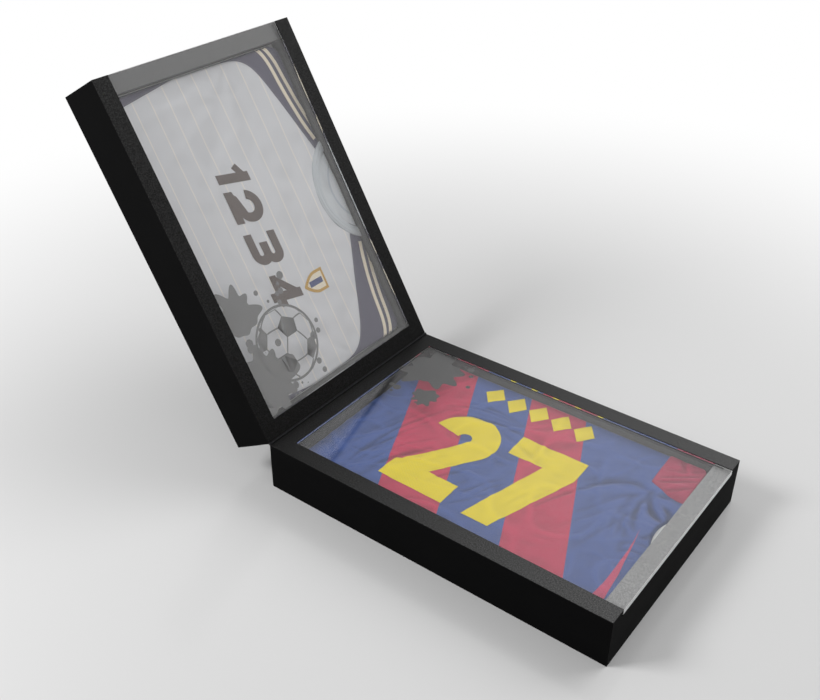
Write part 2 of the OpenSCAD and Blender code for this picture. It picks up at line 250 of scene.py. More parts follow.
def rail_lacquer(
    name, front_direction, front_level, run_direction, run_middle, gloss, wear_and_sheen, wall_grey, seat_grey=None
):
    """Black lacquered timber: a fine pebble all over, and a satin coat of the weight gloss on the front
    faces, which lie at front_level along front_direction and carry a painted highlight: their specks grow
    paler towards the free end, by the given share, and their coat heavier. The walls round the shirt, within
    the half's clear inside about run_middle along run_direction, are a flat grey. A low rail's seat,
    seat_drop below, is painted a pale grey that stands in for the light and reflections it gets under the
    panel."""
    paint = Paint(name, grey(0.004), 0.6, Specular_IOR_Level=0.02, Coat_IOR=1.5, Coat_Roughness=0.3)
    at = paint.place()
    pebble = paint.noise(at, 460.0, 3.0, 0.65)
    cloud = paint.noise(at, 9.0, 3.0, 0.55)
    speck = pebble.smooth(0.38, 0.66)
    _, across, _ = at.parts()
    level = paint.along(at, tuple(front_direction)) - front_level
    run = paint.along(at, tuple(run_direction)) - run_middle
    front = level.smooth(*front_edge)
    # Painted highlight: the front faces' specks grow paler towards the free end, and their coat heavier
    # there.
    painted_sheen_share = 0.5 + run / (2 * case_a)
    dark = paint.mix(painted_sheen_share, grey(0.0035), grey(0.0035 + 0.030 * wear_and_sheen))
    light = paint.mix(painted_sheen_share, grey(0.0125), grey(0.0125 + 0.067 * wear_and_sheen))
    plain = paint.mix(cloud, grey(0.002), (0.005, 0.005, 0.0052))
    black = paint.mix(front, plain, paint.mix(speck, dark, light))
    outside = abs(across).over(inside_b + face_play).most(abs(run).over(inside_a + face_play)).most(front)
    wall = paint.mix(0.5 * cloud + 0.5 * pebble, grey(0.85 * wall_grey), grey(1.15 * wall_grey))
    black = paint.mix(outside, wall, black)
    # Painted light: the seat under the panel is a pale grey that stands in for the light and reflections it
    # gets there.
    if seat_grey:
        rubbed_and_painted_light = paint.mix(0.75 * speck + 0.25 * cloud, grey(0.70 * seat_grey), grey(1.27 * seat_grey))
        black = paint.mix(level.within(-seat_drop, face_play), black, rubbed_and_painted_light)
    paint.set("Coat Weight", gloss * front * (0.33 + 0.52 * painted_sheen_share) * (0.5 + 0.85 * speck))
    return paint.finish(black, 0.52 + 0.14 * cloud + 0.06 * pebble, pebble, 0.12 * MM, 0.25)


def clear_acrylic(name, run_direction, end_level):
    """Clear cast acrylic: glass of a low index that lets the light of lamps and of the room straight through.
    Its sawn end, at end_level along run_direction, is a bright satin."""
    paint = Paint(name, (0.98, 0.982, 0.982), 0.0, IOR=1.49, Transmission_Weight=1.0)
    at = paint.place()
    smear = paint.noise(at, 14.0, 3.0, 0.6).smooth(0.6, 0.8)
    sawn = paint.along(at, tuple(run_direction)).over(end_level - face_play / 2)
    paint.set("Roughness", 0.004 * smear + 0.4 * sawn)
    paint.set("Metallic", 0.8 * sawn)
    shadow, diffuse = paint.rays("Shadow", "Diffuse")
    paint.mix_shader(shadow.most(diffuse), "ShaderNodeBsdfTransparent", Color=(0.966, 0.967, 0.967))
    return paint.material


def fold_shade(sunk):
    """Painted shade and painted highlight on cloth by its depth in its folds: darker down in a valley, by
    less and less as it gets deeper, and a little lighter on a ridge."""
    depth = (sunk / MM).most(0.0)
    # Painted shade in a valley and a painted highlight on a ridge, by the fold's depth
    valley = 1.0 - 0.22 * depth / (1.0 + 0.18 * depth)
    crest = 0.93 + 0.14 * (0.0 - sunk).smooth(0.0, 1.5 * MM)
    return valley * crest


knit_wale = 1.1 * MM
# Level of the painted shade in the gaps between the knit's loops
knit_gap_shade = 0.95


def knit(paint, flat, colour):
    """Fine knit on a colour: rows of small loops, a wale apart, with painted shade in the gaps between them,
    a soft slub, and painted shade, darker down in the folds, whose depth is the third part of flat. Finishes
    the material."""
    across, up, sunk = flat.parts()
    loops = 0.5 + 0.5 * (across * (math.tau / knit_wale)).sin() * (up * (math.tau / knit_wale)).sin()
    slub = paint.noise(flat, 160.0, 3.0, 0.6)
    # The loops' gaps get painted shade, and fold_shade paints shade down in the folds
    weave = knit_gap_shade + (1.0 - knit_gap_shade) * (0.3 * loops + 0.7 * slub)
    shaded = paint.mix(weave * fold_shade(sunk), BLACK, colour)
    return paint.finish(shaded, 0.46 + 0.2 * slub, 0.2 * loops + 0.8 * slub, 0.08 * MM, 0.08)


BLUE = (0.057, 0.103, 0.302)
RED = (0.515, 0.036, 0.094)
SLEEVE_RED = (0.40, 0.028, 0.086)
PIPING_RED = (0.57, 0.058, 0.145)
YELLOW = (0.84, 0.67, 0.006)
WHITE = (0.755, 0.76, 0.785)
PINSTRIPE = (0.95, 0.90, 0.83)
# The lining inside the neck, in a grey-blue that is painted shade
NECK_LINING_SHADE = (0.68, 0.71, 0.74)
NECK_TAPE = (0.44, 0.50, 0.57)
SEAM_THREAD = (0.42, 0.43, 0.46)
# The collar's rib: darker in its grooves as painted shade, paler on its ridges
RIB_GROOVE_SHADE = (0.49, 0.525, 0.555)
RIB_HIGH = (0.63, 0.66, 0.69)
NAVY = (0.09, 0.082, 0.128)
CREAM = (0.95, 0.85, 0.67)
TAUPE = (0.115, 0.085, 0.075)
GOLD = (0.62, 0.36, 0.06)
SHIELD_NAVY = (0.05, 0.07, 0.2)

# The red bands' starts and ends along their slant, in millimetres
band_turn = math.radians(24)
RED_BANDS = ((-212, -92), (28, 142))


def banded_cloth():
    """Blue knit with two wide slanting red bands across the shirt's flat pattern."""
    paint = Paint("base_shirt_cloth", BLUE, 0.7, Sheen_Weight=0.2, Sheen_Roughness=0.4)
    flat = paint.carried("flat")
    slant = paint.along(flat, (math.cos(band_turn), math.sin(band_turn), 0.0))
    red = 0.0
    for start, end in RED_BANDS:
        red = red + slant.over(start * MM) * (1.0 - slant.over(end * MM))
    return knit(paint, flat, paint.mix(red, BLUE, RED))


stitch_pitch = 3 * MM
stitch_gap = 0.3
hem_rows = (4 * MM, 8 * MM)
hem_thread_half = 0.4 * MM


def stitches(along):
    """1 on each stitch of a row and 0 in the gaps between them."""
    return (along / stitch_pitch).fract().over(stitch_gap)


def sleeve_cloth():
    """Red knit with two rows of darker stitches along a hem, whose distance the piece carries."""
    paint = Paint("sleeve_cloth", SLEEVE_RED, 0.7, Sheen_Weight=0.25, Sheen_Roughness=0.4)
    flat = paint.carried("flat")
    hem, along, _ = paint.carried("seams").parts()
    first, second = (hem.within(row, hem_thread_half) for row in hem_rows)
    stitch = (first + second) * stitches(along)
    thread = tuple(0.5 * part for part in SLEEVE_RED)
    return knit(paint, flat, paint.mix(0.45 * stitch, SLEEVE_RED, thread))


pin_pitch = 38 * MM
pin_half_share = 0.028
tape_inside = 20 * MM
tape_half = 2.2 * MM
seam_row = 2.4 * MM
seam_thread_half = 0.35 * MM


def front_cloth():
    """White knit with fine cream pinstripes, navy outside the yoke's seam, with a row of stitches on either
    side of it. Inside the neck lie the lining, in a grey-blue painted shade, and a tape."""
    paint = Paint("lid_shirt_cloth", WHITE, 0.7, Sheen_Weight=0.25, Sheen_Roughness=0.4)
    flat = paint.carried("flat")
    across, up, _ = flat.parts()
    seam, neck, _ = paint.carried("seams").parts()
    body = paint.mix((up / pin_pitch).fract().within(0.5, pin_half_share), WHITE, PINSTRIPE)
    body = paint.mix(1.0 - seam.over(0.0), body, NAVY)
    # Inside the neck, a grey-blue painted shade on the lining
    body = paint.mix(1.0 - neck.over(0.0), body, NECK_LINING_SHADE)
    body = paint.mix(0.6 * neck.within(-tape_inside, tape_half), body, NECK_TAPE)
    stitch = abs(seam).within(seam_row, seam_thread_half) * stitches(across + up)
    return knit(paint, flat, paint.mix(0.5 * stitch, body, SEAM_THREAD))


print_rib = 6 * MM


def shirt_print(name, colour):
    """Flocked print on a shirt: an even colour with a fine slanting rib, a little worn in places, and painted
    shade, darker in the folds."""
    paint = Paint(name, colour, 0.5, Sheen_Weight=0.15, Sheen_Roughness=0.5)
    flat = paint.carried("flat")
    across, up, sunk = flat.parts()
    rib = 0.5 + 0.5 * ((across * 0.8 + up) * (math.tau / print_rib)).sin()
    wear_and_sheen = paint.noise(flat, 90.0, 4.0, 0.65)
    # Painted shade in the folds, weaker than on the cloth
    tone = (1.0 - 0.09 * rib - 0.08 * wear_and_sheen) * (0.6 + 0.4 * fold_shade(sunk))
    shaded = paint.mix(tone, BLACK, colour)
    return paint.finish(shaded, 0.42 + 0.25 * wear_and_sheen, 0.5 * rib + 0.5 * wear_and_sheen, 0.12 * MM, 0.5)


def panel_print(name, tone):
    """Screen print of a grey on the clear panel, a little thin in places."""
    paint = Paint(name, grey(tone), 0.65)
    thin = paint.noise(paint.place(), 60.0, 4.0, 0.65)
    ink = paint.mix(thin, grey(0.85 * tone), grey(1.15 * tone))
    return paint.finish(ink, 0.55 + 0.25 * thin, thin, 0.05 * MM, 0.4)


def bare_timber(name, pale, dark):
    """Planed softwood with long growth lines."""
    paint = Paint(name, pale, 0.65)
    lines = paint.noise(paint.stretch(paint.place(), (6.0, 160.0, 160.0)), 1.0, 4.0, 0.6)
    grain = paint.mix(lines.smooth(0.35, 0.7), pale, dark)
    return paint.finish(grain, 0.55 + 0.3 * lines, lines, 0.2 * MM, 0.4)


def pressed_board(name, colour, spread):
    """Board of pressed fibre: a fine mottle in relief and, by spread, in colour."""
    paint = Paint(name, colour, 0.8)
    fibre = paint.noise(paint.place(), 420.0, 4.0, 0.65)
    dark = tuple(part * (1.0 - spread) for part in colour)
    return paint.finish(paint.mix(fibre, dark, colour), 0.65 + 0.25 * fibre, fibre, 0.15 * MM, 0.5)


BARE_STEEL = (0.10, 0.10, 0.105)


def black_steel(name, colour, roughness):
    """Blackened steel with light rubbing."""
    paint = Paint(name, colour, roughness, Metallic=0.85)
    rub = paint.noise(paint.place(), 220.0, 4.0, 0.65)
    rubbed_and_painted_light = paint.mix(rub.smooth(0.55, 0.85), colour, BARE_STEEL)
    return paint.finish(rubbed_and_painted_light, roughness + 0.25 * rub, rub, 0.05 * MM, 0.4)


# Mesh building


def add_piece(name, half, points, faces, material, slot, body=None, **carried):
    """Adds a mesh of the base half's points, or of those points carried to the lid, where faces turn round.
    Each carried array becomes a vector on the points."""
    if half == "lid":
        points = on_lid(points)
        faces = faces[:, ::-1]
    mesh = bpy.data.meshes.new(name)
    mesh.from_pydata(points, [], faces.tolist())
    for label, vectors in carried.items():
        layer = mesh.attributes.new(label, "FLOAT_VECTOR", "POINT")
        layer.data.foreach_set("vector", np.ascontiguousarray(vectors, np.float32).ravel())
    mesh.polygons.foreach_set("use_smooth", np.ones(len(mesh.polygons), bool))
    mesh.materials.append(material)
    piece = bpy.data.objects.new(name, mesh)
    bpy.context.scene.collection.objects.link(piece)
    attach(piece, body or half)
    return piece


def grid_faces(rows, cols):
    """Quads between the neighbouring points of a grid stored row by row, facing up where rows run in Y."""
    first = (np.arange(rows - 1)[:, None] * cols + np.arange(cols - 1)).ravel()
    return np.stack([first, first + 1, first + cols + 1, first + cols], axis=1)


def ease(t):
    """Smooth step from 0 at 0 to 1 at 1."""
    t = np.clip(t, 0.0, 1.0)
    return t * t * (3.0 - 2.0 * t)


def rolled(height, inset, radius):
    """Height of cloth that rolls down to the board in a quarter round over its last radius from an edge."""
    k = 1.0 - np.clip(inset / radius, 0.0, 1.0)
    return height * np.sqrt(np.clip(1.0 - k * k, 0.0, 1.0))


# The power that keeps a fold's back high until near its ends
fold_fade = 0.8


def ridge(x, y, x0, y0, heading, length, width, height):
    """Height of one fold from a start point, in millimetres and degrees: a ridge with a wavering line and a
    round back that dies away at both ends."""
    turn = math.radians(heading)
    along = (x / MM - x0) * math.cos(turn) + (y / MM - y0) * math.sin(turn)
    off = (y / MM - y0) * math.cos(turn) - (x / MM - x0) * math.sin(turn)
    off = off - 0.35 * width * np.sin(math.tau * along / (0.7 * length) + x0)
    body = np.sin(math.pi * np.clip(along / length, 0.0, 1.0)) ** fold_fade
    return height * MM * body * np.exp(-((off / width) ** 2))


def arc_fold(x, y, start, middle, end, width, height):
    """Height of one fold along the circle through three points, in millimetres: a round back that dies away
    at both ends. The circle's centre is where the chords' middle lines meet, found with complex numbers."""
    first, second, third = complex(*start), complex(*middle), complex(*end)
    chord = (third - first) / (second - first)
    centre = (second - first) * (chord - abs(chord) ** 2) / (2j * chord.imag) + first
    radius = abs(first - centre)
    spoke = (x / MM + 1j * y / MM - centre) / (second - centre)
    begin = np.angle((first - centre) / (second - centre))
    finish = np.angle((third - centre) / (second - centre))
    share = np.clip((np.angle(spoke) - begin) / (finish - begin), 0.0, 1.0)
    off = (np.abs(spoke) - 1.0) * radius
    return height * MM * np.sin(math.pi * share) ** fold_fade * np.exp(-((off / width) ** 2))


def fan(x, y, pinch, facing, spread, waves, near, reach, height, sharp=1.6):
    """Folds that spread like a fan from a pinch: a wave round the pinch, whose height grows up to the
    distance near, dies away over reach, and fades to both sides of the direction facing. A sharp wave has
    broad backs and narrow valleys. Degrees and millimetres."""
    across, up = x / MM - pinch[0], y / MM - pinch[1]
    away = np.hypot(across, up)
    turn = np.arctan2(up, across) - math.radians(facing)
    turn = np.arctan2(np.sin(turn), np.cos(turn))
    wave = np.sin(waves * turn + 0.7 * np.sin(away / 31.0) + 0.9 * np.sin(2.3 * turn + 1.0))
    swell = np.minimum(away / near, 1.0) * np.exp(-np.maximum(away - near, 0.0) / reach)
    window = np.exp(-((turn / math.radians(spread)) ** 2))
    return height * MM * window * swell * (1.0 - (0.5 + 0.5 * wave) ** sharp)


ripple_waves = 20


def ripple(x, y, seed, size):
    """Gentle unevenness: a sum of sine waves of random headings and of lengths about size."""
    random = np.random.default_rng(seed)
    turn = random.uniform(0, math.tau, ripple_waves)
    length = size * random.uniform(0.6, 1.8, ripple_waves)
    start = random.uniform(0, math.tau, ripple_waves)
    total = np.zeros_like(x)
    for heading, wave, phase in zip(turn, length, start):
        total += np.sin(math.tau * (x * math.cos(heading) + y * math.sin(heading)) / wave + phase)
    return total / math.sqrt(ripple_waves / 2)


def crease(x, y, seed, size):
    """Thin soft creases where a ripple passes through zero."""
    return np.exp(-((ripple(x, y, seed, size) / 0.22) ** 2))


def relief(x, y, ripples, creases, fans, folds):
    """Height of the unevenness of cloth: the sum of its ripples and thin creases, each given as (height,
    seed, size) in millimetres, of its fans and of its single folds."""
    total = sum(height * MM * ripple(x, y, seed, size * MM) for height, seed, size in ripples)
    total += sum(height * MM * crease(x, y, seed, size * MM) for height, seed, size in creases)
    total += sum(fan(x, y, *spread) for spread in fans)
    return total + sum(ridge(x, y, *fold) for fold in folds)


# Both shirts: points across and along, round corners, rolled edges, and the bulk, which grows in Y
cloth_rows, cloth_cols = 212, 322
shirt_corner = 28 * MM
cloth_roll = 6 * MM
cloth_rise = 8 * MM
shoulder_bulk = 8 * MM
bulk_start = 40 * MM
bulk_run = 160 * MM


def shirt_rise(y):
    """Height of a shirt's folded bulk above the mount board: flat, and thicker towards the shoulders."""
    return cloth_rise + shoulder_bulk * ease((y - bulk_start) / bulk_run)


def plain_edge(y):
    """How far a shirt's side edge lies from its middle at y: straight, and drawn in by its round corners."""
    past = np.maximum(0.0, np.abs(y) - cloth_b + shirt_corner)
    return cloth_a - shirt_corner + np.sqrt(np.maximum(0.0, shirt_corner**2 - past**2))


# Base shirt

armhole_y = 17 * MM
armhole_deep = 15.5 * MM
armhole_half = 52 * MM
taut_run = 45 * MM
least_cloth = 2 * MM
BACK_RIPPLES = ((0.6, 3, 130), (0.2, 5, 42))
BACK_CREASES = ((1.3, 8, 210), (0.9, 9, 130))

# Fans: pinch, facing, spread, waves, near, reach, height and, where it isn't the usual one, sharpness
BACK_FANS = [
    ((256, 96), 226, 46, 9, 60, 110, 2.8, 0.9),
    ((-352, 70), 318, 36, 13, 120, 170, 1.0),
    ((-230, -250), 62, 32, 13, 150, 170, 2.0),
    ((150, 260), 236, 28, 15, 150, 190, 2.0),
]

# Folds along arcs: start, middle, end, width and height
BACK_ARCS = [
    ((160, 26), (214, 100), (264, 95), 8, -2.6),
    ((140, 44), (190, 98), (240, 115), 9, -1.8),
    ((172, 30), (206, 78), (256, 92), 9, 1.8),
    ((262, 108), (256, 64), (280, -16), 7, -4.4),
    ((246, 110), (238, 62), (262, -40), 9, -2.2),
    ((264, 90), (264, 60), (286, 20), 7, 2.0),
    ((262, 92), (279, 56), (314, 40), 8, -8.0),
    ((284, 76), (314, 58), (328, 24), 8, -7.0),
    ((272, 84), (298, 66), (322, 58), 5, 3.0),
    ((252, 88), (290, 103), (326, 104), 9, -3.6),
    ((294, -28), (312, 4), (324, 20), 5, -2.0),
]

# Straight folds: start, heading, length, width and height
BACK_FOLDS = [
    (262, 0, 287, 90, 8, -1.6),
    (-270, -184, 67, 160, 12, -1.5),
    (-284, -104, 65, 130, 12, -1.2),
    (-282, -168, 69, 150, 9, 1.0),
    (-192, -132, 59, 120, 11, -2.0),
    (-296, -100, 107, 110, 6, 1.0),
    (-215, 80, 32, 150, 10, 1.5),
    (-120, -20, 336, 210, 12, 1.3),
    (40, 90, 212, 230, 13, 1.4),
]

# Families of fine wrinkles: the first one's start, middle and end, the step to the next, count, width, height
BACK_SWEEPS = [
    ((-263, -172), (-252, -18), (-195, 107), (14, -6), 4, 5.5, -1.8),
    ((-205, 92), (-121, 126), (-20, 124), (5, -9), 5, 4.2, -2.0),
    ((-241, -150), (-222, -78), (-170, -10), (17, 1), 3, 5.5, -1.8),
    ((-209, -146), (-186, -87), (-150, -24), (16, -8), 3, 5.5, -1.6),
    ((-150, -84), (-124, -43), (-96, 2), (21, -13), 7, 4.0, -1.2),
    ((-20, -134), (0, -74), (28, -28), (21, 9), 7, 4.0, -1.1),
    ((-60, 88), (-20, 70), (40, 62), (24, -8), 4, 5.0, -1.3),
    ((242, 116), (183, 81), (128, 0), (-1, -9), 3, 4.0, -1.1),
    ((246, 106), (205, 31), (143, -74), (9, -9), 3, 5.0, -0.9),
    ((249, 96), (220, -7), (182, -139), (11, -5), 3, 5.0, -0.8),
    ((252, 85), (258, 14), (279, -72), (-10, 0), 3, 4.0, -1.2),
    ((276, -34), (292, -14), (320, -12), (2, -22), 4, 4.0, -1.2),
]
wrinkle_seed = 31
wrinkle_play = 4


def wrinkles(x, y, families):
    """Height of families of like folds, each along the arc through three points, a little uneven in strength
    and place."""
    random = np.random.default_rng(wrinkle_seed)
    total = np.zeros_like(x)
    for start, middle, end, step, count, width, height in families:
        for place in range(count):
            play = random.uniform(-wrinkle_play, wrinkle_play, (3, 2))
            moved = np.array([start, middle, end]) + place * np.array(step) + play
            total += arc_fold(x, y, *moved, width, height * random.uniform(0.5, 1.4))
    return total


def back_height(x, y):
    """Height of the base shirt's cloth above the mount board: its bulk, and its folds and fine unevenness,
    which die away at the taut far edge."""
    uneven = relief(x, y, BACK_RIPPLES, BACK_CREASES, BACK_FANS, BACK_FOLDS)
    uneven += wrinkles(x, y, BACK_SWEEPS)
    uneven += sum(arc_fold(x, y, *bend) for bend in BACK_ARCS)
    taut = ease((cloth_b - y) / taut_run)
    return np.maximum(shirt_rise(y) + taut * uneven, least_cloth)


def back_surface(x, y):
    """Height of the base shirt's cloth with its sides rolled down to the board."""
    return rolled(back_height(x, y), cloth_b - np.abs(y), cloth_roll)


def back_right(y):
    """The base shirt's edge at the free end, drawn in at the armhole by a parabola."""
    drawn = armhole_deep * np.maximum(0.0, 1.0 - ((y - armhole_y) / armhole_half) ** 2)
    return plain_edge(y) - drawn


def spread_cloth(right):
    """Rows of points over a shirt, from its plain edge at the hinge to its edge right at the free end, and
    how far each point lies from the nearest edge."""
    y = np.repeat(np.linspace(-cloth_b, cloth_b, cloth_rows), cloth_cols)
    start, end = -plain_edge(y), right(y)
    x = start + (end - start) * np.tile(np.linspace(0.0, 1.0, cloth_cols), cloth_rows)
    inset = np.minimum(np.minimum(x - start, end - x), cloth_b - np.abs(y))
    return x, y, inset


fold_ring = 11 * MM
ring_points = 8
wide_ring = 2.6
wide_share = 0.4


def sunk_depth(height, x, y, reach=fold_ring):
    """How far the cloth lies, at each point, below the mean of its heights on a ring about the point, and in
    part on a wider ring."""
    turns = np.linspace(0.0, math.tau, ring_points, endpoint=False)
    here = height(x, y)
    sunk = np.zeros_like(x)
    for size, share in ((reach, 1.0), (wide_ring * reach, wide_share)):
        ring = sum(height(x + size * math.cos(t), y + size * math.sin(t)) for t in turns)
        sunk += share * (ring / ring_points - here)
    return sunk


def flat_pattern(x, y, sunk):
    """A point's place on the shirt's flat pattern, and how deep in a fold it lies."""
    return np.column_stack([x, y, sunk])


def lay(x, y, height):
    """Points at a height above the mount board's face."""
    return np.column_stack([x, y, board_z + height])


def base_torso(material):
    """The base shirt's body: a sheet over the mount board with its edges rolled under."""
    x, y, inset = spread_cloth(back_right)
    points = lay(x, y, rolled(back_height(x, y), inset, cloth_roll))
    piece = add_piece(
        "base_shirt_body", "base", points, grid_faces(cloth_rows, cloth_cols), material, "base_shirt_cloth",
        flat=flat_pattern(x, y, sunk_depth(back_height, x, y)),
    )
    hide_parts("base_shirt")


# Sleeve: the turn at each edge of its flat pattern, its lift, its tuck under the body's cloth and its rolled
# edges, its bowed seam, and how far the body's folds may raise it
sleeve_bulk = 2.6 * MM
sleeve_least = 1.1 * MM
sleeve_tuck = 1.5 * MM
sleeve_roll = 4 * MM
sleeve_bow = 5 * MM
sleeve_ring = 7 * MM
under_most = 1 * MM
SLEEVE_RIPPLES = ((0.35, 21, 40),)
sleeve_corners = np.array([[245, 123], [323, 102], [323, 210], [243, 210]]) * MM
SLEEVE_FOLDS = [
    (250, 134, 37, 82, 3.5, -3.0),
    (252, 130, 35, 82, 3.5, 2.4),
    (253, 125, 33, 80, 3.5, -2.8),
    (268, 116, 36, 70, 4, 2.0),
    (277, 110, 43, 58, 4, -2.4),
    (272, 212, 287, 42, 5, -2.6),
    (285, 206, 285, 40, 5, 1.8),
    (252, 160, 30, 84, 5, -1.6),
]


def sleeve_lift(x, y):
    """Height of the sleeve's cloth above the body: a flat lift, fine unevenness and its folds."""
    return np.maximum(sleeve_bulk + relief(x, y, SLEEVE_RIPPLES, (), (), SLEEVE_FOLDS), sleeve_least)


def base_sleeve(material):
    """The folded sleeve: a four-cornered sheet lying on the body, its edges rolled down."""
    rows, cols = 60, 52
    u = np.tile(np.linspace(0.0, 1.0, cols), rows)
    v = np.repeat(np.linspace(0.0, 1.0, rows), cols)
    a, b, c, d = sleeve_corners
    shape = ((1 - u) * (1 - v))[:, None] * a + (u * (1 - v))[:, None] * b
    shape = shape + (u * v)[:, None] * c + ((1 - u) * v)[:, None] * d
    x, y = shape[:, 0], shape[:, 1]
    y = y - sleeve_bow * np.sin(math.pi * u) * (1 - v) ** 2
    x = x - u * np.maximum(0.0, x - plain_edge(y))
    wide, high = np.linalg.norm(b - a), np.linalg.norm(d - a)
    inset = np.minimum(np.minimum(u, 1 - u) * wide, np.minimum(v, 1 - v) * high)
    under = np.minimum(back_height(x, y), shirt_rise(y) + under_most) - sleeve_tuck
    height = under + rolled(sleeve_lift(x, y) + sleeve_tuck, inset, sleeve_roll)
    edge = rolled(np.ones_like(x), np.minimum(cloth_b - y, cloth_a - x), cloth_roll)
    piece = add_piece(
        "base_shirt_sleeve", "base", lay(x, y, height * edge), grid_faces(rows, cols), material,
        "base_shirt_cloth", flat=flat_pattern(x, y, sunk_depth(sleeve_lift, x, y, sleeve_ring)),
        seams=np.column_stack([v * high, u * wide, np.zeros_like(u)]),
    )


# Flat shapes cut out and laid on a surface

line_step = 4.0


def path_line(points):
    """Points every line_step along straight runs between corner points."""
    points = np.asarray(points, float)
    runs = []
    for start, end in zip(points[:-1], points[1:]):
        count = max(2, int(np.linalg.norm(end - start) / line_step))
        runs.append(start + (end - start) * np.linspace(0, 1, count)[:, None])
    return np.concatenate(runs)


def path_arc(middle, radius, start, end, count=40):
    """Points along an arc, in degrees from start to end."""
    turn = np.radians(np.linspace(start, end, count))
    return np.asarray(middle) + radius * np.stack([np.cos(turn), np.sin(turn)], axis=1)


def ribbon(path, width):
    """Outline of a stroke of a width along a path: the path moved to both sides along its normals."""
    keep = np.concatenate([[True], np.linalg.norm(np.diff(path, axis=0), axis=1) > 1e-9])
    path = path[keep]
    heading = np.gradient(path, axis=0)
    heading /= np.linalg.norm(heading, axis=1)[:, None]
    side = np.stack([-heading[:, 1], heading[:, 0]], axis=1) * width / 2
    return np.concatenate([path + side, (path - side)[::-1]])


def inside(points, outline):
    """Whether each point lies inside an outline, by counting the edges to its right."""
    a, b = outline, np.roll(outline, -1, axis=0)
    px, py = points[:, 0, None], points[:, 1, None]
    spans = (a[:, 1] > py) != (b[:, 1] > py)
    rise = np.where(np.abs(b[:, 1] - a[:, 1]) < 1e-12, 1e-12, b[:, 1] - a[:, 1])
    meets = a[:, 0] + (py - a[:, 1]) * (b[:, 0] - a[:, 0]) / rise
    return np.sum(spans & (px < meets), axis=1) % 2 == 1


def cut_shape(outlines, spacing=None):
    """Triangles over the union of outlines, with inner points on a grid of a spacing, so that the shape can
    follow a curved surface."""
    points = np.concatenate(outlines)
    starts = np.cumsum([0] + [len(o) for o in outlines])
    rings = [list(range(i, j)) for i, j in zip(starts[:-1], starts[1:])]
    if spacing:
        low, high = points.min(0), points.max(0)
        gx, gy = np.meshgrid(np.arange(low[0], high[0], spacing), np.arange(low[1], high[1], spacing))
        grid = np.stack([gx.ravel(), gy.ravel()], axis=1)
        grid = grid[np.any([inside(grid, o) for o in outlines], axis=0)]
        points = np.concatenate([points, grid])
    made = delaunay_2d_cdt([Vector(p) for p in points], [], rings, 1, 1e-7)
    verts = np.array([v[:] for v in made[0]])
    faces = np.array(made[2])
    middles = verts[faces].mean(axis=1)
    return verts, faces[np.any([inside(middles, o) for o in outlines], axis=0)]


def fine_outline(outline, step):
    """A closed outline with points at most a step apart."""
    after = np.roll(outline, -1, axis=0)
    counts = np.maximum(np.ceil(np.linalg.norm(after - outline, axis=1) / step), 1).astype(int)
    runs = [a + (b - a) * np.arange(n)[:, None] / n for a, b, n in zip(outline, after, counts)]
    return np.concatenate(runs)


print_lift = 0.5 * MM
print_spacing = 4.0


def lay_shape(name, half, outlines, material, lift=print_lift, spacing=print_spacing):
    """A thin print, cut from outlines in millimetres, that follows a half's shirt at a small lift."""
    height, surface = (back_height, back_surface) if half == "base" else (front_height, front_surface)
    verts, faces = cut_shape([fine_outline(np.asarray(o, float), spacing) for o in outlines], spacing)
    x, y = verts[:, 0] * MM, verts[:, 1] * MM
    add_piece(
        name, half, lay(x, y, surface(x, y) + lift), faces, material, f"{half}_shirt_cloth",
        flat=flat_pattern(x, y, sunk_depth(height, x, y)),
    )


def numeral(digit, wide, high, stroke):
    """Outlines of a plain numeral, 1 to 4 or 7, in a box: strokes along lines and arcs through the middle of
    its limbs."""
    half = stroke / 2
    left, right, low, top = half, wide - half, half, high - half
    radius = (right - left) / 2
    middle = wide / 2
    if digit == 1:
        return [
            ribbon(path_line([[middle, 0], [middle, high]]), stroke),
            ribbon(path_line([[middle, top - half * 0.2], [left, top - stroke * 0.9]]), stroke * 0.8),
        ]
    if digit == 2:
        bowl = path_arc((middle, top - radius), radius, 172, -38)
        stem = path_line([bowl[-1], [left + 0.12 * stroke, low + 0.3 * stroke]])
        return [
            ribbon(np.concatenate([bowl, stem]), stroke),
            ribbon(path_line([[0, low], [wide, low]]), stroke),
            np.array([[0, low], [1.2 * stroke, low], [1.4 * stroke, 1.3 * stroke], [0, stroke]]),
        ]
    if digit == 3:
        bend = (top - low) / 4
        upper = path_arc((middle - 0.1 * wide, top - bend), bend, 90, -90)
        lower = path_arc((middle - 0.1 * wide, low + bend), bend, 90, -90)
        reach = np.array([right - upper[:, 0].max(), 0])
        return [
            ribbon(np.concatenate([path_line([[0, top], upper[0] + reach]), upper[1:] + reach]), stroke),
            ribbon(np.concatenate([lower + reach, path_line([lower[-1] + reach, [0, low]])[1:]]), stroke),
            ribbon(path_line([[0.3 * wide, high / 2], upper[-1] + reach]), stroke),
        ]
    if digit == 4:
        post = right - 0.18 * wide
        return [
            ribbon(path_line([[post, 0], [post, high]]), stroke),
            ribbon(path_line([[0, 0.3 * high], [wide, 0.3 * high]]), stroke * 0.85),
            ribbon(path_line([[post, top], [left * 0.8, 0.3 * high]]), stroke * 0.85),
        ]
    foot = 0.17 * wide
    stem = np.array([[foot, 0], [foot + stroke, 0], [wide, top - half + 1], [right - 1.1 * half, top]])
    return [ribbon(path_line([[0, top], [wide, top]]), stroke), stem]


def set_numeral(digit, start, slope, *sizes):
    """Outlines of a numeral moved to a start point and leaning by slope."""
    lean = np.array([[1.0, 0.0], [slope, 1.0]])
    return [outline @ lean + np.array(start) for outline in numeral(digit, *sizes)]


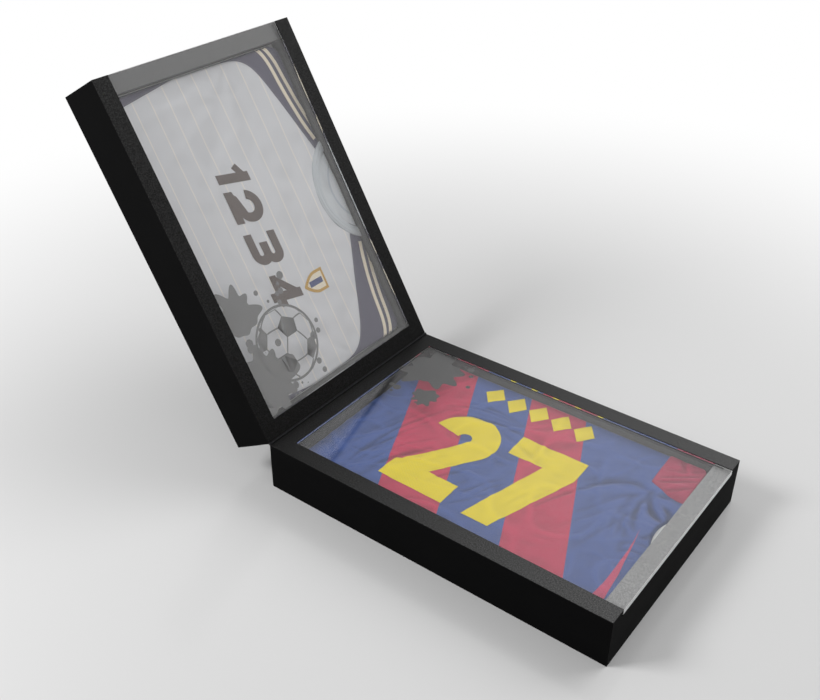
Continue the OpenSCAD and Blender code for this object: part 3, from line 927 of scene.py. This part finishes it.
# The base shirt's prints in millimetres: the number's width, height and stroke, its start and the step to the
# next digit, the row of lozenges, and the two edges of the side piping
NUMBER = (2, 7)
number_size = (142, 250, 56)
number_start = np.array([-172, -157])
number_step = np.array([162, 0])
lozenges = 5
lozenge_row = np.array([-22, 168])
lozenge_step = np.array([51, 0])
lozenge_size = (46, 58)
PIPING_INNER = [
    [285, 1], [290, -32], [293, -64], [294.5, -94], [296, -124], [296, -158], [293, -182], [288, -204],
]
PIPING_OUTER = [
    [304, -204], [311, -195], [313, -182], [310, -150], [307, -122], [302, -95], [297, -63], [291, -29],
]


def base_prints():
    """The base shirt's plain number, the row of lozenges above it and the piping at its side."""
    yellow = shirt_print("number_print", YELLOW)
    red = shirt_print("piping_print", PIPING_RED)
    for place, digit in enumerate(NUMBER):
        outlines = set_numeral(digit, number_start + place * number_step, 0.0, *number_size)
        lay_shape(f"number_{place}", "base", outlines, yellow)
    corners = np.array([[-0.5, 0], [0, -0.5], [0.5, 0], [0, 0.5]]) * lozenge_size
    for place in range(lozenges):
        middle = lozenge_row + (place - (lozenges - 1) / 2) * lozenge_step
        lay_shape(f"yoke_lozenge_{place}", "base", [middle + corners], yellow)
    lay_shape("side_piping", "base", [PIPING_INNER + PIPING_OUTER], red)


# Lid shirt

neck_x, neck_y = 0.0, 265 * MM
neck_outer = 122 * MM
neck_inner = 102 * MM
yoke_half = 322 * MM
yoke_round = 22 * MM
shoulder_high = 177 * MM
shoulder_low = 105 * MM
shoulder_lean = 0.05
hem_level = -60 * MM
hem_taper = 0.145
neck_lip = 4 * MM
neck_lip_run = 10 * MM
neck_rise = 2.4 * MM
neck_rise_start = 175 * MM
neck_rise_run = 30 * MM
FRONT_RIPPLES = ((0.5, 33, 190), (0.1, 35, 60))
FRONT_CREASES = ((0.25, 38, 260),)

# Fans and folds of one side, each with a lean from straight down for its direction, then those of both sides
SIDE_FANS = [
    (318, 66, 48, 44, 8, 110, 170, 1.1, 1.0),
    (90, 240, 20, 36, 9, 120, 110, 0.8, 1.0),
]
SIDE_FOLDS = [
    (268, 40, 20, 220, 14, 1.0),
    (236, 70, 36, 260, 14, 0.8),
    (296, 10, 8, 190, 10, 0.8),
]
FRONT_FANS = [
    ((side * x, y), 270 - side * lean, *shape) for x, y, lean, *shape in SIDE_FANS for side in (1, -1)
]
FRONT_FOLDS = [
    (side * x, y, 270 - side * lean, *shape) for x, y, lean, *shape in SIDE_FOLDS for side in (1, -1)
]


def neck_distance(x, y):
    """Distance outside the neck's inner circle."""
    return np.hypot(x - neck_x, y - neck_y) - neck_inner


def front_height(x, y):
    """Height of the lid shirt's cloth above the mount board: its bulk, its folds and fine unevenness, raised
    inside the neck."""
    height = shirt_rise(y) + relief(x, y, FRONT_RIPPLES, FRONT_CREASES, FRONT_FANS, FRONT_FOLDS)
    within = 1 - ease((neck_distance(x, y) + neck_lip) / neck_lip_run)
    return height + neck_rise * within * ease((y - neck_rise_start) / neck_rise_run)


def front_surface(x, y):
    """Height of the lid shirt's cloth with its edges rolled down to the board."""
    return rolled(front_height(x, y), np.minimum(cloth_a - np.abs(x), cloth_b - np.abs(y)), cloth_roll)


def yoke_seam(x, y):
    """Distance inside the seam that parts the white body from the navy shoulders, negative on the navy: the
    least, rounded at the corner, of the distances to two sloping shoulder lines, which lean a little to one
    side, and to the two ends, which draw in towards the hem."""
    slope = (shoulder_high - shoulder_low) / (yoke_half - neck_outer)
    line = shoulder_high - slope * (np.abs(x) - neck_outer) + shoulder_lean * x
    shoulder = (line - y) / math.hypot(1.0, slope)
    drawn = hem_taper * np.maximum(hem_level - y, 0.0)
    end = yoke_half - drawn - np.abs(x)
    return -yoke_round * np.logaddexp(-shoulder / yoke_round, -end / yoke_round)


seam_dip = 0.5 * MM
seam_dip_half = 2.2 * MM


def lid_torso(material):
    """The lid shirt's body and shoulders: a sheet over the mount board, with its edges rolled under and its
    yoke seam drawn in by a groove."""
    x, y, inset = spread_cloth(plain_edge)
    seam = yoke_seam(x, y)
    dip = seam_dip * np.exp(-((seam / seam_dip_half) ** 2))
    points = lay(x, y, rolled(front_height(x, y) - dip, inset, cloth_roll))
    piece = add_piece(
        "lid_shirt_body", "lid", points, grid_faces(cloth_rows, cloth_cols), material, "lid_shirt_cloth",
        # The seam's groove adds to the fold depth, so that it gets painted shade as well
        flat=flat_pattern(x, y, sunk_depth(front_height, x, y) + dip),
        seams=np.column_stack([seam, neck_distance(x, y), np.zeros_like(seam)]),
    )
    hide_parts("lid_shirt")


collar_wide = neck_outer - neck_inner
collar_sink = 0.6 * MM
collar_back = 3.2 * MM
collar_groove = 0.35 * MM
COLLAR_RIPPLES = ((0.3, 41, 60),)
collar_inset = 1 * MM


def lid_collar(material):
    """The collar: a round-backed band with three grooves, carried along an arc about the neck and cut off at
    the shirt's far edge."""
    rows, cols = 26, 150
    across = np.repeat(np.linspace(0.0, 1.0, rows), cols)
    radius = neck_inner + collar_wide * across
    start = math.pi + np.arcsin(np.clip((neck_y - cloth_b + collar_inset) / radius, -1.0, 1.0))
    turn = start + (3 * math.pi - 2 * start) * np.tile(np.linspace(0.0, 1.0, cols), rows)
    x, y = neck_x + radius * np.cos(turn), neck_y + radius * np.sin(turn)
    back = np.sqrt(np.clip(1 - (2 * across - 1) ** 2, 0.0, 1.0))
    base = shirt_rise(y) - collar_sink + relief(x, y, COLLAR_RIPPLES, (), (), ())
    grooves = collar_groove * np.cos(6 * math.pi * across) * back
    points = lay(x, y, base + collar_back * back**0.7 + grooves)
    piece = add_piece(
        "lid_shirt_collar", "lid", points, grid_faces(rows, cols)[:, ::-1], material, "lid_shirt_cloth",
        flat=np.column_stack([turn * neck_outer, radius, np.zeros_like(turn)]),
    )


rib_pitch = 2.6 * MM


def collar_rib():
    """Ribbed knit: ridges across the collar's band, with painted shade in the grooves between them, under a
    fine fuzz.
    """
    paint = Paint("collar_rib", WHITE, 0.75, Sheen_Weight=0.25, Sheen_Roughness=0.4)
    flat = paint.carried("flat")
    along, _, _ = flat.parts()
    rib = 0.5 + 0.5 * (along * (math.tau / rib_pitch)).sin()
    fuzz = paint.noise(flat, 300.0, 3.0, 0.6)
    rows = 0.7 * rib + 0.3 * fuzz
    # Painted shade in the rib's grooves
    return paint.finish(paint.mix(rows, RIB_GROOVE_SHADE, RIB_HIGH), 0.65 + 0.2 * fuzz, rows, 0.4 * MM, 0.7)


def shield(middle, wide, high):
    """Outline of a plain shield: a straight top and two arcs that meet in a point."""
    x, y = middle
    t = np.linspace(0.0, 1.0, 24)
    side = np.stack([wide / 2 * np.cos(t * math.pi / 2) ** 0.8, -high * 0.62 * t**1.1], axis=1)
    right = side + np.array([x, y])
    left = np.stack([2 * x - right[::-1, 0], right[::-1, 1]], axis=1)
    top = np.array([[x - wide / 2, y + high * 0.38], [x + wide / 2, y + high * 0.38]])
    return np.concatenate([right, left[1:], top])


# The lid shirt's prints in millimetres: a piping's start, run and level, its fall along a curve and its drop
# at the end, its width, the step to the upper one and the far limit of both, then the digits and the shield
piping_start = 116
piping_run = 206
piping_level = 200
piping_fall = 30
piping_drop = 16
piping_wide = 8.5
piping_step = 17
piping_limit = 209
CHEST_DIGITS = ((1, -152), (2, -93), (3, -4), (4, 86))
chest_level = -71
chest_slope = 0.2
chest_size = (66, 76, 19)
chest_spacing = 5.0
shield_x, shield_y = -145, 52
shield_edge = (46, 60)
shield_field = (34, 46)
stripe_half, stripe_low, stripe_top = 6, 22, 14
layer_lift = 0.3 * MM


def shoulder_piping(side, above):
    """Outline of a piping along one shoulder: it falls by a power curve, drops at its end, and is cut off at
    the far limit."""
    run = np.linspace(0.0, 1.0, 90)
    fall = piping_fall * (1 - (1 - run) ** 2.2) + piping_drop * run**10
    line = np.column_stack([piping_start + piping_run * run, piping_level + above - fall])
    outline = ribbon(line[line[:, 1] < piping_limit], piping_wide)
    outline[:, 1] = np.minimum(outline[:, 1], piping_limit)
    return outline * np.array([side, 1])


def lid_prints():
    """The lid shirt's shoulder pipings, the row of digits on its chest and the plain shield."""
    cream = shirt_print("piping_cream", CREAM)
    taupe = shirt_print("chest_print", TAUPE)
    gold = shirt_print("shield_gold", GOLD)
    navy = shirt_print("shield_navy", SHIELD_NAVY)
    for side, name in ((1, "free"), (-1, "hinge")):
        for place, above in (("upper", piping_step), ("lower", 0)):
            lay_shape(f"piping_{name}_{place}", "lid", [shoulder_piping(side, above)], cream)
    for place, (digit, start) in enumerate(CHEST_DIGITS):
        outlines = set_numeral(digit, (start, chest_level), chest_slope, *chest_size)
        outlines = [outline * np.array([-1, 1]) for outline in outlines]
        lay_shape(f"chest_number_{place}", "lid", outlines, taupe, spacing=chest_spacing)
    crest = (shield_x, shield_y)
    lay_shape("shield_edge", "lid", [shield(crest, *shield_edge)], gold)
    lay_shape("shield_field", "lid", [shield(crest, *shield_field)], cream, print_lift + layer_lift)
    left, right = shield_x - stripe_half, shield_x + stripe_half
    low, top = shield_y - stripe_low, shield_y + stripe_top
    stripe = [[left, low], [right, low], [right, top], [left, top]]
    lay_shape("shield_stripe", "lid", [stripe], navy, print_lift + 2 * layer_lift)


# Prints on the clear panels

# How far towards the viewer a point of the ball has to lie, as a share of its radius, to be drawn
near_side = 0.05


def ball_tips(turn):
    """The twelve corners of an icosahedron on a unit ball, turned about Y and then X, and the length of its
    edges with a little play."""
    golden = (1 + math.sqrt(5)) / 2
    signs = [(s, t) for s in (-1, 1) for t in (-1, 1)]
    tips = np.array([np.roll([0, s, t * golden], k) for k in range(3) for s, t in signs])
    tips /= np.linalg.norm(tips[0])
    spin = np.array(Matrix.Rotation(turn[0], 3, "X") @ Matrix.Rotation(turn[1], 3, "Y"))
    tips = tips @ spin.T
    return tips, 1.01 * np.sort(np.linalg.norm(tips[0] - tips, axis=1))[1]


def ball_patches(middle, radius, turn):
    """Outlines of a stitched ball's dark five-sided patches on its near side: the corners lie a third of the
    way along the edges of an icosahedron, seen along one direction."""
    tips, edge = ball_tips(turn)
    outlines = []
    for tip in tips[tips[:, 2] >= near_side]:
        near = [other for other in tips if 0.01 < np.linalg.norm(other - tip) < edge]
        corners = np.array([tip + (other - tip) / 3 for other in near])
        corners /= np.linalg.norm(corners, axis=1)[:, None]
        angle = np.arctan2(corners[:, 1] - tip[1], corners[:, 0] - tip[0])
        outlines.append(corners[np.argsort(angle), :2] * radius + np.asarray(middle))
    return outlines


def ball_seams(middle, radius, turn, width):
    """Strokes along a stitched ball's seams between its pale patches, on the near side: the middle thirds of
    an icosahedron's edges."""
    tips, edge = ball_tips(turn)
    strokes = []
    for i, a in enumerate(tips):
        for b in tips[i + 1 :]:
            if np.linalg.norm(a - b) > edge:
                continue
            run = a + (b - a) * np.linspace(1 / 3, 2 / 3, 9)[:, None]
            run /= np.linalg.norm(run, axis=1)[:, None]
            if run[:, 2].min() > near_side:
                strokes.append(ribbon(run[:, :2] * radius + np.asarray(middle), width))
    return strokes


def splash(middle, radius, seed, lobes):
    """Outline of a splash: a circle whose radius swings by sine waves with random phases, with long drops."""
    random = np.random.default_rng(seed)
    turn = np.linspace(0, math.tau, 180, endpoint=False)
    swing = np.zeros_like(turn)
    for k in (3, 5, 8, lobes):
        swing += random.uniform(0.4, 1.0) * np.sin(k * turn + random.uniform(0, math.tau)) / 4
    reach = radius * (1 + 0.5 * np.clip(swing, -0.5, 1.0) + 0.35 * np.clip(swing, 0, 1) ** 3)
    return np.asarray(middle) + reach[:, None] * np.stack([np.cos(turn), np.sin(turn)], axis=1)


drop_most = 9


def dots(middle, spread, count, seed):
    """Outlines of round drops scattered at random on a ring about a point, most of them small."""
    random = np.random.default_rng(seed)
    turn = random.uniform(0, math.tau, count)
    away = spread * (0.55 + 0.6 * random.uniform(0, 1, count))
    size = drop_most * random.uniform(0.25, 1.0, count) ** 2
    places = np.asarray(middle) + away[:, None] * np.stack([np.cos(turn), np.sin(turn)], axis=1)
    return [path_arc(place, radius, 0, 345, 14) for place, radius in zip(places, size)]


panel_gap = 0.1 * MM
print_margin = 1 * MM


def lay_print(name, half, outlines, material):
    """A flat print on the inner face of a half's clear panel, kept within the panel's clear opening."""
    verts, faces = cut_shape([np.asarray(o, float) for o in outlines])
    points = np.column_stack([verts * MM, np.full(len(verts), panel_low.z - panel_gap)])
    points[:, 0] = np.clip(points[:, 0], print_margin - board_a, board_a - print_margin)
    points[:, 1] = np.clip(points[:, 1], print_margin - board_b, board_b - print_margin)
    piece = add_piece(name, half, points, faces[:, ::-1], material, "panel_clear", body=f"{half}_cover")
    piece.visible_shadow = False


# The panels' prints in millimetres: the ball, then splashes, each as its middle, radius, seed and lobes, and
# drops, each lot as its middle, spread, count and seed
ball_middle = (-216, -100)
ball_radius = 74
ball_turn = (0.35, 0.5)
ball_rim = 5
ball_seam = 3
LID_SPLASHES = [((-262, -176), 62, 4, 11), ((-120, -178), 44, 9, 9)]
LID_DROPS = [(ball_middle, 120, 26, 5), ((-262, -176), 90, 16, 6)]
BASE_SPLASHES = [((-268, 150), 58, 14, 11), ((-226, 62), 26, 15, 9)]
BASE_DROPS = [((-262, 130), 88, 26, 16)]


def splashes(blots, drops):
    """Outlines of splashes and of the drops about them."""
    outlines = [splash(*blot) for blot in blots]
    for scatter in drops:
        outlines += dots(*scatter)
    return outlines


def panel_prints():
    """A plain ball with splashes in one corner of the lid's clear panel, and splashes alone on the base's."""
    lid_grey = panel_print("lid_panel_print", 0.18)
    base_grey = panel_print("base_panel_print", 0.055)
    rim = ribbon(path_arc(ball_middle, ball_radius, 0, 359.9, 90), ball_rim)
    ball = ball_patches(ball_middle, ball_radius, ball_turn)
    ball += ball_seams(ball_middle, ball_radius, ball_turn, ball_seam)
    lay_print("lid_panel_ball", "lid", ball + [rim], lid_grey)
    lay_print("lid_panel_splash", "lid", splashes(LID_SPLASHES, LID_DROPS), lid_grey)
    lay_print("base_panel_splash", "base", splashes(BASE_SPLASHES, BASE_DROPS), base_grey)


# Finishes of the frame's own nodes


def paint_node(node, material):
    """Gives a node's own slots a material."""
    for place in frame["nodes"][node].material_slots:
        place.material = material


def dress_nodes():
    """Gives every carried-over node its finish."""
    lid_middle, lid_end = on_lid(np.array([[0.0, 0.0, front_z], [panel_high.x, 0.0, front_z]]))
    # Each half's gloss, and the strength of the painted highlight on its rails' front faces towards the free
    # end
    base_front = {
        "front_direction": (0.0, 0.0, 1.0), "front_level": front_z,
        "run_direction": (1.0, 0.0, 0.0), "run_middle": 0.0,
        "gloss": 0.9, "wear_and_sheen": 1.0, "wall_grey": 0.075,
    }
    lid_front = {
        "front_direction": lid_out, "front_level": float(lid_middle @ lid_out),
        "run_direction": lid_along, "run_middle": float(lid_middle @ lid_along),
        "gloss": 0.26, "wear_and_sheen": 0.33, "wall_grey": 0.11,
    }
    clear = {
        "base": clear_acrylic("panel_clear_base", (1.0, 0.0, 0.0), panel_high.x),
        "lid": clear_acrylic("panel_clear_lid", lid_along, float(lid_end @ lid_along)),
    }
    pine = bare_timber("cleat_wood", (0.55, 0.39, 0.22), (0.42, 0.27, 0.13))
    beech = bare_timber("dowel_wood", (0.62, 0.46, 0.28), (0.50, 0.34, 0.19))
    back = pressed_board("back_board_black", (0.014, 0.014, 0.0145), 0.35)
    mount = pressed_board("mount_board_white", (0.88, 0.88, 0.865), 0.06)
    hinge = black_steel("hinge_black", (0.012, 0.012, 0.013), 0.38)
    screw = black_steel("screw_black", (0.03, 0.03, 0.031), 0.32)
    finishes = {
        "back_board": back, "mount_board": mount, "corner_dowels": beech, "back_screws": screw,
        "near_cleat": pine, "far_cleat": pine, "hinge_cleat": pine, "end_cleat": pine,
    }
    # Each half's seat grey is painted light under its panel
    for half, front, seat_grey in (("base", base_front, 0.28), ("lid", lid_front, 0.165)):
        rail = rail_lacquer(f"rail_black_{half}", **front)
        low_rail = rail_lacquer(f"end_rail_black_{half}", **front, seat_grey=seat_grey)
        for part in ("near_rail", "far_rail", "hinge_rail"):
            paint_node(f"{half}_{part}", rail)
        paint_node(f"{half}_end_rail", low_rail)
        paint_node(f"{half}_panel", clear[half])
        for part, material in finishes.items():
            paint_node(f"{half}_{part}", material)
        paint_node(f"hinge_leaf_{half}", hinge)
        paint_node(f"hinge_screws_{half}", screw)
    paint_node("hinge_pin", hinge)


# Studio

# The photograph's camera, as fitted to the case's corners
image_wide = 820
focal_pixels = 1044.84
eye = Vector((0.7775, -1.3223, 1.3196))
view_turn = math.radians(36.957)
view_drop = math.radians(33.092)
view_roll = math.radians(0.300)

# The floor fades to white between these distances. The room lights softly, and what is mirrored of it high up
# on the hinge's side is dimmer, by a share, between these heights and sides of a direction
floor_grey = 0.69
floor_reach = 30.0
fade_start, fade_end = 0.7, 2.2
room_light = 0.38
dim_share = 0.55
dim_heights = (0.35, 0.55)
dim_sides = (-0.56, -0.30)

# Soft lamps: name, place, target, size and power
LAMPS = [
    ("key", (1.1, 2.2, 2.3), (-0.1, 0.0, 0.1), 2.4, 52.0),
    ("fill", (-1.7, -1.8, 2.2), (0.0, 0.0, 0.1), 1.1, 60.0),
]


def add_camera():
    """The photograph's camera: looking down by view_drop, turned by view_turn about the vertical, and rolled
    a little."""
    data = bpy.data.cameras.new("camera")
    data.sensor_width = 36.0
    data.lens = focal_pixels / image_wide * data.sensor_width
    camera = bpy.data.objects.new("camera", data)
    level = math.cos(view_drop)
    back = Vector((math.sin(view_turn) * level, -math.cos(view_turn) * level, math.sin(view_drop)))
    right = Vector((0.0, 0.0, 1.0)).cross(back).normalized()
    up = back.cross(right)
    rolled_right = math.cos(view_roll) * right + math.sin(view_roll) * up
    rolled_up = math.cos(view_roll) * up - math.sin(view_roll) * right
    turn = Matrix((rolled_right, rolled_up, back)).transposed()
    camera.matrix_world = Matrix.Translation(eye) @ turn.to_4x4()
    bpy.context.scene.collection.objects.link(camera)
    bpy.context.scene.camera = camera


def add_floor():
    """A wide pale floor with a faint gloss, which fades to plain white away from the case."""
    paint = Paint("floor_pale", grey(floor_grey), 0.16, Specular_IOR_Level=0.45)
    at = paint.place()
    paint.set("Roughness", 0.1 + 0.12 * paint.noise(at, 3.0, 2.0, 0.5))
    camera, glossy, through = paint.rays("Camera", "Glossy", "Transmission")
    away = paint.node("ShaderNodeVectorMath", {"operation": "LENGTH"}, at, out=1)
    seen = camera.most(glossy).most(through)
    paint.mix_shader(seen * away.smooth(fade_start, fade_end), "ShaderNodeEmission")
    mesh = bpy.data.meshes.new("floor")
    corners = floor_reach * np.array([[-1, -1, 0], [1, -1, 0], [1, 1, 0], [-1, 1, 0]])
    mesh.from_pydata(corners, [], [(0, 1, 2, 3)])
    mesh.materials.append(paint.material)
    floor = bpy.data.objects.new("floor", mesh)
    bpy.context.scene.collection.objects.link(floor)


def add_light(name, at, target, size, power):
    """A square soft lamp at a point, facing a target. It lights the case but isn't mirrored in it."""
    data = bpy.data.lights.new(name, "AREA")
    data.size = size
    data.energy = power
    lamp = bpy.data.objects.new(name, data)
    lamp.location = at
    lamp.visible_glossy = False
    lamp.visible_transmission = False
    lamp.rotation_euler = (Vector(target) - Vector(at)).to_track_quat("-Z", "Y").to_euler()
    bpy.context.scene.collection.objects.link(lamp)


def add_world():
    """A white room: bright where it is seen or mirrored, softer as light. What is mirrored high up on the
    hinge's side is dimmer."""
    world = bpy.data.worlds.new("room")
    bpy.context.scene.world = world
    world.use_nodes = True
    room = Nodes(world.node_tree)
    camera, glossy, through = room.rays("Camera", "Glossy", "Transmission")
    sideways, _, upwards = room.node("ShaderNodeTexCoord", {}).parts()
    dim = dim_share * upwards.smooth(*dim_heights) * (1.0 - sideways.smooth(*dim_sides))
    strength = camera.most(glossy.most(through) * (1.0 - dim)).most(room_light)
    background = world.node_tree.nodes["Background"]
    room.feed(background.inputs["Color"], (1.0, 1.0, 1.0))
    room.feed(background.inputs["Strength"], strength)


add_camera()
add_world()
add_floor()
for lamp in LAMPS:
    add_light(*lamp)
bpy.context.scene.view_settings.view_transform = "Standard"

dress_nodes()
base_torso(banded_cloth())
base_sleeve(sleeve_cloth())
base_prints()
lid_torso(front_cloth())
lid_collar(collar_rib())
lid_prints()
panel_prints()
